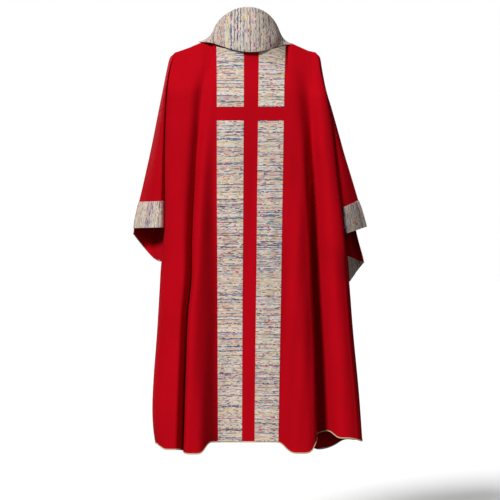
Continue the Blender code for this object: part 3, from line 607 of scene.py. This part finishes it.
def stitches(name, lines, slot, sides=5):
    """Rows of short raised stitches along lines of (points, normals)."""
    angle = 2 * math.pi * np.arange(sides) / sides
    vertices, faces = [], []
    for points, normals in lines:
        reach = distances(points)
        centres = np.arange(STITCH_PITCH, reach[-1] - STITCH_PITCH, STITCH_PITCH)
        places, nexts = resample(points, centres), resample(points, centres + 0.001)
        facing = np.stack([np.interp(centres, reach, normals[:, k]) for k in range(3)], axis=-1)
        aheads = unit(nexts - places)
        for place, ahead, normal in zip(places, aheads, facing):
            side = unit(np.cross(ahead, normal))
            normal = np.cross(side, ahead)
            faces += loft_faces(len(vertices), len(STITCH_RINGS), sides)
            for offset, scale in STITCH_RINGS:
                middle = place + ahead * offset * STITCH_LENGTH
                radius = STITCH_RADIUS * scale
                vertices += [middle + (side * math.cos(a) + normal * math.sin(a)) * radius
                             for a in angle]
    return outward(make_object(name, vertices, faces, slot, sharp=80))


# ---- materials ----------------------------------------------------------------------
class Nodes:
    """A material's node tree, and short ways to add to it."""

    def __init__(self, name, roughness, specular, sheen=0.0, tint=(1.0, 1.0, 1.0)):
        material = bpy.data.materials.new(name)
        material.use_nodes = True
        MATERIALS[name] = material
        self.tree = material.node_tree
        self.shader = self.tree.nodes["Principled BSDF"]
        self.shader.inputs["Roughness"].default_value = roughness
        self.shader.inputs["Specular IOR Level"].default_value = specular
        self.shader.inputs["Sheen Weight"].default_value = sheen
        self.shader.inputs["Sheen Roughness"].default_value = 0.45
        self.shader.inputs["Sheen Tint"].default_value = (*tint, 1.0)
        self.uv = self.add("ShaderNodeUVMap", uv_map="UVMap").outputs[0]
        split = self.add("ShaderNodeSeparateXYZ")
        self.link(self.uv, split.inputs[0])
        self.s, self.t = split.outputs[0], split.outputs[1]

    def add(self, kind, **settings):
        node = self.tree.nodes.new(kind)
        for key, value in settings.items():
            setattr(node, key, value)
        return node

    def link(self, source, target):
        self.tree.links.new(source, target)

    def put(self, value, socket):
        if isinstance(value, (int, float)):
            socket.default_value = value
        else:
            self.link(value, socket)

    def math(self, operation, *values):
        node = self.add("ShaderNodeMath", operation=operation)
        for value, socket in zip(values, node.inputs):
            self.put(value, socket)
        return node.outputs[0]

    def times(self, first, second):
        return self.math("MULTIPLY", first, second)

    def plus(self, first, second):
        return self.math("ADD", first, second)

    def pair(self, x, y):
        node = self.add("ShaderNodeCombineXYZ")
        for value, socket in zip((x, y, 0.0), node.inputs):
            self.put(value, socket)
        return node.outputs[0]

    def noise(self, vector, scale, detail=2.0, roughness=0.5):
        node = self.add("ShaderNodeTexNoise")
        self.link(vector, node.inputs["Vector"])
        node.inputs["Scale"].default_value = scale
        node.inputs["Detail"].default_value = detail
        node.inputs["Roughness"].default_value = roughness
        return node.outputs[0]

    def random(self, x, y):
        node = self.add("ShaderNodeTexWhiteNoise", noise_dimensions="2D")
        self.link(self.pair(x, y), node.inputs["Vector"])
        return node.outputs[0]

    def ramp(self, value, stops, interpolation="LINEAR"):
        node = self.add("ShaderNodeValToRGB")
        ramp = node.color_ramp
        ramp.interpolation = interpolation
        while len(ramp.elements) < len(stops):
            ramp.elements.new(0.5)
        for element, (place, colour) in zip(ramp.elements, stops):
            element.position = place
            element.color = (*colour, 1.0)
        self.link(value, node.inputs[0])
        return node.outputs[0]

    def mix(self, share, first, second, blend="MIX"):
        node = self.add("ShaderNodeMix", data_type="RGBA", blend_type=blend)
        self.put(share, node.inputs[0])
        for value, socket in ((first, node.inputs[6]), (second, node.inputs[7])):
            if isinstance(value, tuple):
                socket.default_value = (*value, 1.0)
            else:
                self.link(value, socket)
        return node.outputs[2]

    def colour(self, source):
        self.link(source, self.shader.inputs["Base Color"])

    def bump(self, height, distance, strength):
        node = self.add("ShaderNodeBump")
        node.inputs["Distance"].default_value = distance
        node.inputs["Strength"].default_value = strength
        self.link(height, node.inputs["Height"])
        self.link(node.outputs[0], self.shader.inputs["Normal"])

    def rough(self, value, low, high):
        node = self.add("ShaderNodeMapRange")
        self.link(value, node.inputs[0])
        node.inputs[3].default_value = low
        node.inputs[4].default_value = high
        self.link(node.outputs[0], self.shader.inputs["Roughness"])


def woven(name, light, dark, thread=0.0006, sheen=0.2, specular=0.12):
    """Plain matte cloth with a fine twill, slight shade variation and soft handling marks."""
    nodes = Nodes(name, 0.85, specular, sheen, tint=light)
    mottled = nodes.noise(nodes.uv, 7.0, 3.0, 0.55)
    threads = nodes.noise(nodes.pair(nodes.times(nodes.s, 900.0), nodes.times(nodes.t, 90.0)),
                          1.0, 2.0)
    shade = nodes.plus(nodes.times(mottled, 0.7), nodes.times(threads, 0.3))
    nodes.colour(nodes.ramp(shade, [(0.30, dark), (0.68, light)]))
    nodes.rough(threads, 0.78, 0.92)
    turn = 2 * math.pi / thread
    diagonal = nodes.plus(nodes.s, nodes.t)
    twill = nodes.math("SINE", nodes.times(diagonal, turn))
    cross = nodes.math("SINE", nodes.times(nodes.s, turn * 0.7))
    weave = nodes.plus(twill, nodes.times(cross, 0.5))
    nodes.bump(nodes.plus(weave, nodes.times(threads, 1.5)), 0.00012, 0.35)


YARNS = [(0.0, (0.80, 0.63, 0.46)), (0.20, (0.94, 0.86, 0.76)), (0.40, (0.56, 0.51, 0.52)),
         (0.50, (0.20, 0.23, 0.34)), (0.62, (0.92, 0.72, 0.42)), (0.74, (0.11, 0.14, 0.24)),
         (0.84, (0.82, 0.74, 0.64)), (0.92, (0.76, 0.42, 0.40))]
DASHES = [(0.0, (0.98, 0.91, 0.80)), (0.34, (0.80, 0.70, 0.58)), (0.46, (0.40, 0.43, 0.52)),
          (0.57, (0.04, 0.05, 0.15)), (0.69, (0.96, 0.62, 0.14)), (0.78, (0.82, 0.06, 0.18)),
          (0.87, (0.05, 0.34, 0.44)), (0.93, (0.92, 0.78, 0.62))]


def tweed(name):
    """Slub tweed: uneven cream, grey and navy yarns with dark and bright slubs.

    The yarns run along s and lie side by side along t.
    """
    nodes = Nodes(name, 0.9, 0.12, 0.10)
    wander = nodes.noise(nodes.uv, 18.0, 2.0, 0.5)
    across = nodes.plus(nodes.t, nodes.times(wander, 0.003))
    count = nodes.math("DIVIDE", across, YARN)
    yarn = nodes.math("FLOOR", count)
    off = nodes.math("ABSOLUTE", nodes.math("SUBTRACT", nodes.math("FRACT", count), 0.5))
    base = nodes.ramp(nodes.random(yarn, 3.7), YARNS, "CONSTANT")
    chance = nodes.random(yarn, 8.1)
    place = nodes.plus(nodes.times(nodes.s, nodes.plus(chance, 0.6)),
                       nodes.times(nodes.noise(nodes.uv, 90.0, 1.0), 0.02))
    dash = nodes.math("FLOOR", nodes.times(place, 115.0))
    dashes = nodes.ramp(nodes.random(dash, nodes.plus(yarn, 0.5)), DASHES, "CONSTANT")
    thick = nodes.noise(nodes.pair(nodes.times(nodes.s, 38.0), nodes.times(across, 420.0)),
                        1.0, 2.0, 0.6)
    share = nodes.add("ShaderNodeMapRange", interpolation_type="SMOOTHSTEP")
    nodes.link(thick, share.inputs[0])
    for socket, number in zip(share.inputs[1:5], (0.45, 0.57, 0.0, 0.92)):
        socket.default_value = number
    mixed = nodes.mix(share.outputs[0], base, dashes)
    grain = nodes.noise(nodes.uv, 1400.0, 2.0, 0.7)
    shade = nodes.ramp(grain, [(0.25, (0.74, 0.74, 0.74)), (0.75, (1.0, 1.0, 1.0))])
    mixed = nodes.mix(1.0, mixed, shade, "MULTIPLY")
    # Painted shade: each yarn's colour darkens towards its edges, standing in for the shade in
    # the grooves between yarns.
    painted_gap_shade = nodes.ramp(off, [(0.30, (1.0, 1.0, 1.0)), (0.5, (0.58, 0.58, 0.61))])
    nodes.colour(nodes.mix(1.0, mixed, painted_gap_shade, "MULTIPLY"))
    nodes.rough(grain, 0.82, 0.96)
    height = nodes.math("SUBTRACT", nodes.times(thick, 1.4), off)
    nodes.bump(nodes.plus(height, nodes.times(grain, 0.5)), 0.0008, 0.6)


# Plain cloths by slot: (light, dark, and settings of woven()).
TAPE_RED = (0.36, 0.002, 0.008), (0.26, 0.0015, 0.006)
CLOTHS = {
    "red_cloth": ((0.52, 0.0010, 0.0085), (0.46, 0.0008, 0.0068),
                  {"sheen": 0.0, "specular": 0.05}),
    "lining_red": ((0.36, 0.002, 0.008), (0.28, 0.0015, 0.006), {}),
    "interlining": ((0.62, 0.58, 0.50), (0.50, 0.46, 0.38), {"thread": 0.0012, "sheen": 0.1}),
    "piping_cream": ((0.72, 0.60, 0.38), (0.56, 0.44, 0.24),
                     {"thread": 0.0009, "specular": 0.4}),
    "seam_tape": (*TAPE_RED, {"thread": 0.0009}),
    "loop_tape": (*TAPE_RED, {"thread": 0.0009}),
    "label_white": ((0.80, 0.78, 0.72), (0.70, 0.68, 0.62), {"thread": 0.0008, "specular": 0.4}),
    "stitch_thread": ((0.74, 0.68, 0.56), (0.60, 0.54, 0.42), {"specular": 0.3}),
}


def make_materials():
    for name, (light, dark, settings) in CLOTHS.items():
        woven(name, light, dark, **settings)
    tweed("tweed")


# ---- pieces -------------------------------------------------------------------------
def cloth_uv(points):
    """Lengths of cloth across and down, in metres."""
    across = np.linalg.norm(np.diff(points, axis=1), axis=2)
    down = np.linalg.norm(np.diff(points, axis=0), axis=2)
    s = np.pad(np.cumsum(across, axis=1), ((0, 0), (1, 0)))
    t = np.pad(np.cumsum(down, axis=0), ((1, 0), (0, 0)))
    return np.stack([s - s[:, s.shape[1] // 2][:, None], -t], axis=-1)


def yarn_uv(points, upright):
    """Lengths along and across the yarns, which run upright or from side to side."""
    rows, columns = points.shape[:2]
    across = distances(points[rows // 2])
    down = distances(points[:, columns // 2])
    s, t = np.meshgrid(across, down)
    return np.stack([t, s] if upright else [s, t], axis=-1)


def band_uv(points, upper):
    """As yarn_uv, with the yarns straight and parallel to the end beside the cross."""
    s = np.broadcast_to(distances(points[len(points) // 2]), points.shape[:2])
    down = np.linalg.norm(np.diff(points, axis=0), axis=2)
    t = np.pad(np.cumsum(down, axis=0), ((1, 0), (0, 0)))
    return np.stack([s, t - t[-1] if upper else t], axis=-1)


def yarn_relief(uv, seed):
    """How far each yarn of a tweed stands out."""
    count = uv[..., 1] / YARN
    yarn = np.floor(count).astype(int)
    chance = np.random.default_rng(seed).uniform(0.45, 1.0, 900)
    swell = 0.75 + 0.25 * np.sin(uv[..., 0] * 260 + yarn * 2.1)
    return YARN_RELIEF * chance[yarn % 900] * swell * (0.5 - 0.5 * np.cos(2 * math.pi * count))


def add_panel(name, surface):
    columns, rows = surface.cloth_columns(), surface.cloth_rows()
    points, normals = surface.grid(columns, rows)
    cells = np.ones((len(rows) - 1, len(columns) - 1), bool)
    middle = (columns[:-1] + columns[1:]) / 2
    beyond = (middle < 0) | (middle > surface.last)
    below = (rows[:-1] + rows[1:]) / 2 > surface.rim
    cells[np.ix_(below, beyond)] = False
    return shell(name, points, normals, -CLOTH / 2, CLOTH / 2, "red_cloth",
                 cloth_uv(points), cells, lift=seam_ridge(surface, points, columns, rows))


RIDGE_HEIGHT, RIDGE_HALF = 0.0014, 0.0022
RIDGE_INSET = (0.009, 0.016)             # from the seam, at the hem and at the underarm


def seam_ridge(surface, points, columns, rows):
    """Each side seam's allowance is pressed to the back and shows as a low ridge."""
    lift = np.zeros(points.shape[:2])
    if surface.side < 0:
        return lift
    for column, sign in ((0, 1), (surface.last, -1)):
        edge = points[:, np.argmin(np.abs(columns - column))][:, 0]
        inset = np.interp(points[:, 0, 2], (-1.25, -0.75), RIDGE_INSET)
        off = sign * (edge[:, None] - points[..., 0]) - inset[:, None]
        below = ease(surface.rim - 0.1, surface.rim + 0.05, rows)[:, None]
        lift += RIDGE_HEIGHT * np.exp(-(off / RIDGE_HALF) ** 2) * below
    return lift


def trim_span(count):
    near = CLOTH / 2 + GAP
    return (near, near + TRIM) if count > 0 else (-near - TRIM, -near)


def add_bands(prefix, surface):
    near, far = trim_span(1)
    lines = []
    for seed, hand in enumerate(("left", "right")):
        first = surface.named[hand + ("_band_out" if hand == "left" else "_band_in")]
        columns = np.linspace(first, first + 1, 18)
        for part, top, bottom in (("upper", 0.0, 2.0), ("lower", 3.0, surface.rim + 1.0)):
            probes = np.linspace(top, bottom, 400)
            reach = distances(surface.at(np.full(400, first + 0.5), probes))
            count = int(reach[-1] / (YARN / 3))
            rows = np.interp(np.linspace(0, reach[-1], count), reach, probes)
            points, normals = surface.grid(columns, rows)
            uv = band_uv(points, part == "upper")
            uv[..., 1] += 2.0 * seed + (0.7 if part == "upper" else 0.0)
            item = shell(f"{prefix}_orphrey_{part}_{hand}", points, normals, near, far,
                         "tweed", uv, lift=yarn_relief(uv, 7 + seed))
            for column in (first + 0.035, first + 0.965):
                points, normals = surface.grid([column], rows[::3])
                raised = points[:, 0] + normals[:, 0] * (far + STITCH_LIFT)
                lines.append((raised, normals[:, 0]))
    return stitches(f"{prefix}_band_stitches", lines, "stitch_thread")


def add_cuffs(prefix, surface):
    for seed, hand in enumerate(("left", "right")):
        columns = np.linspace(-1.0, -0.05, 42)
        columns = columns if hand == "left" else surface.last - columns[::-1]
        points, normals = surface.grid(columns, np.linspace(surface.cuff_row, surface.rim, 30))
        uv = yarn_uv(points, upright=True)
        uv[..., 1] += 5.0 + seed + surface.side
        for count, suffix in ((1, ""), (-1, "_facing")):
            lift = yarn_relief(uv, 20 + seed) if count > 0 else None
            item = shell(f"{hand}_{prefix}_cuff{suffix}", points, normals, *trim_span(count),
                         "tweed", uv, lift=lift)


def add_neck_facing(prefix, surface):
    columns = np.linspace(surface.named["left_band_out"], surface.named["right_band_out"], 70)
    points, normals = surface.grid(columns, np.linspace(0.0, 1.0, 26))
    item = shell(prefix + "_neck_facing", points, normals, *trim_span(-1), "lining_red",
                 cloth_uv(points))


PIPING_RADIUS = 0.002
PIPING_DROP = 0.0024      # its middle hangs this far below the cloth's edge
PIPING_STEP = 0.0014


def add_piping(name, surface):
    hem = surface.at(np.linspace(0, surface.last, 3000), np.full(3000, surface.rim + 1.0))
    length = distances(hem)[-1]
    path = resample(hem, np.linspace(0, length, int(length / PIPING_STEP)))
    path[:, 2] -= PIPING_DROP
    return cord(name, path, PIPING_RADIUS, "piping_cream", lobes=2, pitch=0.009)


COLLAR_STEPS = 240        # points round the collar
FOLD_RADIUS = 0.005
INTERLINING = 0.0008      # its thickness
# Lines of the collar, each by its reach and height behind the neck and in front of it.
SEAM_HALF, SEAM_REACH = 0.112, (0.078, 0.131)
FOLD_HALF, FOLD_RISE = 0.1095, (0.1085, 0.095)
EDGE_HALF, EDGE_REACH, EDGE_DROP = 0.116, (0.095, 0.172), (0.028, 0.215)


def round_neck():
    """Sine and cosine of the way round from the middle of the back, and that way outwards."""
    angle = 2 * math.pi * np.arange(COLLAR_STEPS) / COLLAR_STEPS
    sine, cosine = np.sin(angle), np.cos(angle)
    return sine, cosine, np.stack([sine, cosine, np.zeros(COLLAR_STEPS)], 1)


def collar_lines():
    """The collar's seam, its fold and its free edge, all the way round.

    The collar leans a little to the wearer's left.
    """
    sine, cosine, _ = round_neck()
    behind = cosine > 0
    centre = 0.003 + 0.0125 * sine ** 2
    tilt = 0.004 * sine
    drop = np.where(behind, BACK_NECK_DROP, FRONT_NECK_DROP) + NECK_SIDE
    lift = -0.004 + 0.010 * np.maximum(0.0, -cosine)
    seam = np.stack([SEAM_HALF * sine, np.where(behind, *SEAM_REACH) * cosine,
                     NECK_SIDE - drop * np.abs(cosine) + lift], 1)
    half = FOLD_HALF - 0.008 * np.maximum(0.0, sine)
    fold = np.stack([centre + half * sine, -0.040 + 0.115 * cosine,
                     np.where(behind, *FOLD_RISE) * cosine + 0.006 + tilt], 1)
    half = EDGE_HALF + 0.034 * np.abs(sine) ** 24
    fall = np.where(behind, *EDGE_DROP) * np.abs(cosine) ** 2.4
    edge = np.stack([centre * 0.8 + half * sine,
                     np.where(behind, *EDGE_REACH) * cosine - 0.008 * sine ** 2,
                     0.006 + tilt - fall], 1)
    return seam, fold, edge


def collar_grid():
    """Rows from the free edge up over the fold and down inside to the neck seam."""
    seam, fold, edge = collar_lines()
    sine, cosine, outwards = round_neck()
    upward = np.array((0.0, 0.0, 1.0))
    outer_top, inner_top = fold + outwards * FOLD_RADIUS, fold - outwards * FOLD_RADIUS
    rows = []
    for part in np.linspace(0.0, 1.0, 44):
        swell = 0.005 * math.sin(math.pi * part ** 0.8)
        wave = 0.0012 * np.sin(7 * np.arctan2(sine, cosine) + 3 * part) * math.sin(math.pi * part)
        rows.append(edge + (outer_top - edge) * part + outwards * (swell + wave)[:, None])
    for turn in np.linspace(0.0, math.pi, 10)[1:-1]:
        rows.append(fold + FOLD_RADIUS * (outwards * math.cos(turn) + upward * math.sin(turn)))
    for part in np.linspace(0.0, 1.0, 20):
        rows.append(inner_top + (seam - inner_top) * part)
    return spread(np.array(rows))


def ring_normals(points):
    side = np.roll(points, -1, axis=1) - np.roll(points, 1, axis=1)
    return unit(np.cross(np.gradient(points, axis=0), side))


def ring_uv(points, upright):
    closed = np.concatenate([points, points[:, :1]], axis=1)
    return yarn_uv(closed, upright)


def add_collar():
    points = collar_grid()
    normals = ring_normals(points)
    uv = ring_uv(points, upright=True)
    relief = yarn_relief(uv, 41)[:, :-1]
    item = shell("collar", points, normals, -TRIM / 2, TRIM / 2, "tweed", uv,
                 wrap=True, lift=relief)
    seam, fold, _ = collar_lines()
    outwards = round_neck()[2]
    inner_top = fold - outwards * FOLD_RADIUS
    strip = spread(np.array([seam + (inner_top - seam) * part + outwards * 0.0026
                             for part in np.linspace(0.12, 0.85, 14)]))
    lining = shell("collar_interlining", strip, ring_normals(strip), -INTERLINING / 2,
                   INTERLINING / 2, "interlining", ring_uv(strip, upright=False), wrap=True)


TAPE_THICKNESS = 0.001
SHOULDER_TAPE, SIDE_TAPE, LOOP_TAPE = 0.005, 0.008, 0.006   # widths
SIDE_TAPE_INSET = 0.0038


def add_tapes(back, front):
    for hand, sign, columns in (("left", 1, (0, 0)), ("right", -1, (back.last, front.last))):
        seam = back.top_seam(sign)
        inward = -sign * unit(np.cross(np.gradient(seam, axis=0), (0.0, 1.0, 0.0)))
        depth = np.interp(distances(seam), (0.05, 0.09), (0.0062, 0.0042))
        ribbon(f"{hand}_shoulder_tape", spread(seam + inward * depth[:, None]), (0, 1, 0),
               inward, SHOULDER_TAPE, TAPE_THICKNESS, "seam_tape")
        rows = np.linspace(back.rim + 0.008, back.rim + 0.985, 70)
        seams = [surface.at(np.full_like(rows, float(column)), rows)
                 for surface, column in zip((back, front), columns)]
        middle = (seams[0] + seams[1]) / 2
        middle[:, 0] -= sign * SIDE_TAPE_INSET
        ribbon(f"{hand}_side_tape", middle, (0, 1, 0), (1, 0, 0), SIDE_TAPE, TAPE_THICKNESS,
               "seam_tape")


def inside_neck(surface, part, down, offset):
    """Point inside the back neck: part across from the left, down the facing, off the cloth."""
    left, right = surface.named["left_band_in"], surface.named["right_band_in"]
    points, normals = surface.grid([left + (right - left) * part], [down])
    return points[0, 0] - normals[0, 0] * offset


# The hanger loop and the label inside the back neck: part across, part down, offset.
LOOP_ROUTE = ((0.02, 0.14, 0.0052), (0.06, 0.20, 0.0068), (0.16, 0.26, 0.0098),
              (0.50, 0.29, 0.0125), (0.84, 0.26, 0.0098), (0.94, 0.20, 0.0068),
              (0.98, 0.14, 0.0052))
LABEL_ACROSS, LABEL_DOWN, LABEL_OFFSET = (0.12, 0.88), (0.46, 0.86), 0.0042
LABEL_CUT, LABEL_THICKNESS = (0.036, 0.034), 0.0006


def add_neck_details(surface):
    stops = np.array([inside_neck(surface, *stop) for stop in LOOP_ROUTE])
    path = resample(stops, np.linspace(0, distances(stops)[-1], 40))
    ribbon("hanger_loop", path, (0, 0, 1), (0, 1, 0), LOOP_TAPE, TAPE_THICKNESS, "loop_tape")
    points = np.array([[inside_neck(surface, part, down, LABEL_OFFSET)
                        for part in np.linspace(*LABEL_ACROSS, 24)]
                       for down in np.linspace(*LABEL_DOWN, 16)])
    normals = unit(np.cross(np.gradient(points, axis=0), np.gradient(points, axis=1)))
    item = shell("blank_label", points, normals, 0.0, LABEL_THICKNESS, "label_white",
                 cloth_uv(points))


def add_camera():
    camera = bpy.data.cameras.new("camera")
    camera.lens = camera.sensor_width * (VIEW_DISTANCE - VIEW_PLANE) / VIEW_WIDTH
    item = bpy.data.objects.new("camera", camera)
    item.location = (0.0, VIEW_DISTANCE, VIEW_HEIGHT)
    item.rotation_euler = (math.pi / 2, 0.0, math.pi)
    bpy.context.scene.collection.objects.link(item)
    bpy.context.scene.camera = item


# Suns: (name, azimuth, elevation, strength, softness), in degrees. Azimuth 0 is in front of the
# wearer and 90 on its left.
SUNS = [("key_light", 148.0, 36.0, 3.25, 16.0), ("front_light", 20.0, 30.0, 2.2, 25.0),
        ("fill_light", 188.0, 10.0, 0.25, 30.0)]
SKY = 0.07                # light from all round, beside a white backdrop of 1
WHITE = (1.0, 1.0, 1.0, 1.0)
FLOOR, FLOOR_HALF = -1.62, 60.0


def add_studio():
    world = bpy.data.worlds.new("studio")
    world.use_nodes = True
    tree = world.node_tree
    background = tree.nodes["Background"]
    background.inputs[0].default_value = WHITE
    ray = tree.nodes.new("ShaderNodeLightPath")
    share = tree.nodes.new("ShaderNodeMapRange")
    share.inputs[3].default_value = SKY
    share.inputs[4].default_value = 1.0
    tree.links.new(ray.outputs["Is Camera Ray"], share.inputs[0])
    tree.links.new(share.outputs[0], background.inputs[1])
    bpy.context.scene.world = world
    for name, azimuth, elevation, strength, softness in SUNS:
        light = bpy.data.lights.new(name, "SUN")
        light.energy = strength
        light.angle = math.radians(softness)
        item = bpy.data.objects.new(name, light)
        item.rotation_euler = (math.radians(90 - elevation), 0.0, math.radians(azimuth))
        bpy.context.scene.collection.objects.link(item)
    mesh = bpy.data.meshes.new("floor")
    mesh.from_pydata([(x * FLOOR_HALF, y * FLOOR_HALF, FLOOR)
                      for x, y in ((-1, -1), (1, -1), (1, 1), (-1, 1))], [], [(0, 1, 2, 3)])
    floor = bpy.data.objects.new("floor", mesh)
    material = bpy.data.materials.new("floor")
    material.use_nodes = True
    shader = material.node_tree.nodes["Principled BSDF"]
    shader.inputs["Base Color"].default_value = WHITE
    shader.inputs["Roughness"].default_value = 1.0
    shader.inputs["Specular IOR Level"].default_value = 0.0
    mesh.materials.append(material)
    bpy.context.scene.collection.objects.link(floor)
    floor.visible_diffuse = False
    bpy.context.scene.view_settings.view_transform = "Standard"


def main():
    make_materials()
    halves = {
        "back": Surface(1, BACK_LINES, BACK_FOLDS, BACK_DEPTH, BACK_HEM, BACK_CROSS,
                        BACK_NECK_DROP, BACK_SAG),
        "front": Surface(-1, FRONT_LINES, FRONT_FOLDS, FRONT_DEPTH, FRONT_HEM, FRONT_CROSS,
                         FRONT_NECK_DROP, FRONT_SAG)}
    panels = {name: add_panel(name + "_panel", half) for name, half in halves.items()}
    for name, half in halves.items():
        seams = add_bands(name, half)
        add_cuffs(name, half)
        add_neck_facing(name, half)
        piping = add_piping(name + "_hem_piping", half)
    add_collar()
    add_tapes(halves["back"], halves["front"])
    add_neck_details(halves["back"])
    add_camera()
    add_studio()


main()
